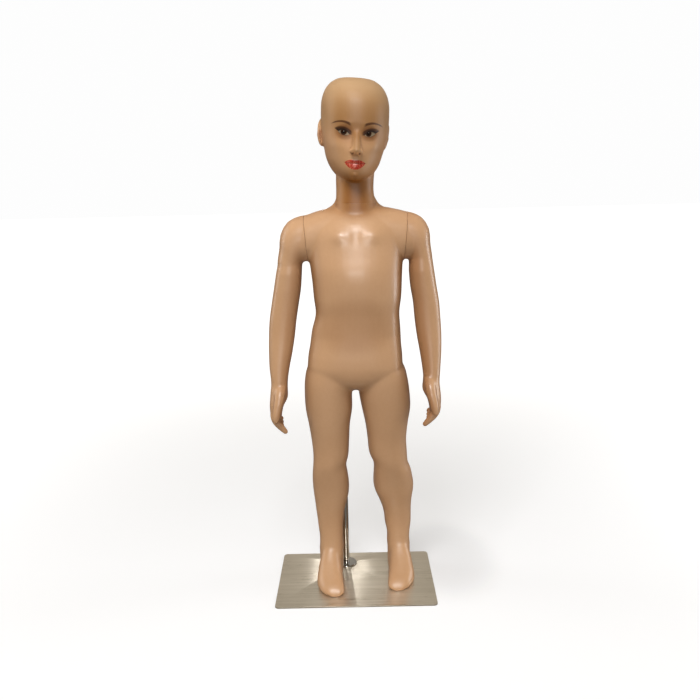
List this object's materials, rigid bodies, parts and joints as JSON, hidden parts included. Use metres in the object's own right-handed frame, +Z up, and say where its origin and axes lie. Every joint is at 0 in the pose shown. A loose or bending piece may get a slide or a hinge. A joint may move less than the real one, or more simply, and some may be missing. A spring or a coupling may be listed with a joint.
{
  "type": "full body mannequin",
  "caption": "Child-size standing shop mannequin with turning arms and head, held by a bent calf rod on a flat steel base plate.",
  "frame": {"origin": "middle of the base plate's underside, on the floor", "axes": "+Z up; the figure faces -Y; +X is the figure's left"},
  "size_m": [0.3753, 0.25, 1.0966],
  "materials": {
    "skin_plastic": "semi-gloss tan moulded plastic",
    "brushed_steel": "fine brushed stainless sheet",
    "chrome": "polished chrome plate",
    "zinc_steel": "zinc plated steel",
    "nylon": "natural nylon moulding",
    "black_plastic": "black moulded cap"
  },
  "bodies": {
    "base": {"base_plate": "brushed_steel", "rod_bolt": "zinc_steel", "rod_flange": "chrome", "support_rod": "chrome", "rod_thread_insert": "zinc_steel", "rod_end_cap": "black_plastic"},
    "body": {"torso_and_legs": "skin_plastic", "calf_socket": "zinc_steel", "neck_ring": "zinc_steel", "neck_ring_screw_1": "zinc_steel", "neck_ring_screw_2": "zinc_steel", "neck_ring_screw_3": "zinc_steel", "right_shoulder_ring": "zinc_steel", "right_shoulder_ring_screw_1": "zinc_steel", "right_shoulder_ring_screw_2": "zinc_steel", "right_shoulder_ring_screw_3": "zinc_steel", "left_shoulder_ring": "zinc_steel", "left_shoulder_ring_screw_1": "zinc_steel", "left_shoulder_ring_screw_2": "zinc_steel", "left_shoulder_ring_screw_3": "zinc_steel"},
    "head": {"head": "skin_plastic", "neck_plug": "nylon", "neck_plug_screw_1": "zinc_steel", "neck_plug_screw_2": "zinc_steel", "neck_plug_screw_3": "zinc_steel"},
    "right_arm": {"right_arm": "skin_plastic", "right_shoulder_plug": "nylon", "right_shoulder_plug_screw_1": "zinc_steel", "right_shoulder_plug_screw_2": "zinc_steel", "right_shoulder_plug_screw_3": "zinc_steel"},
    "left_arm": {"left_arm": "skin_plastic", "left_shoulder_plug": "nylon", "left_shoulder_plug_screw_1": "zinc_steel", "left_shoulder_plug_screw_2": "zinc_steel", "left_shoulder_plug_screw_3": "zinc_steel"}
  },
  "joints": [
    {"name": "lift_off", "type": "slide", "parent": "base", "child": "body", "axis": [-0.2138, -0.3076, 0.9272], "range_m": [0, 0.08]},
    {"name": "head_turn", "type": "hinge", "parent": "body", "child": "head", "pos_m": [0.0165, 0.01, 0.848], "axis": [0, 0, 1], "range_deg": [-60, 60]},
    {"name": "right_arm_turn", "type": "hinge", "parent": "body", "child": "right_arm", "pos_m": [-0.0885, 0.01, 0.782], "axis": [-0.9969, 0, -0.0785], "range_deg": [-60, 150]},
    {"name": "left_arm_turn", "type": "hinge", "parent": "body", "child": "left_arm", "pos_m": [0.1205, 0.01, 0.782], "axis": [-0.9969, 0, 0.0785], "range_deg": [-60, 150]}
  ]
}
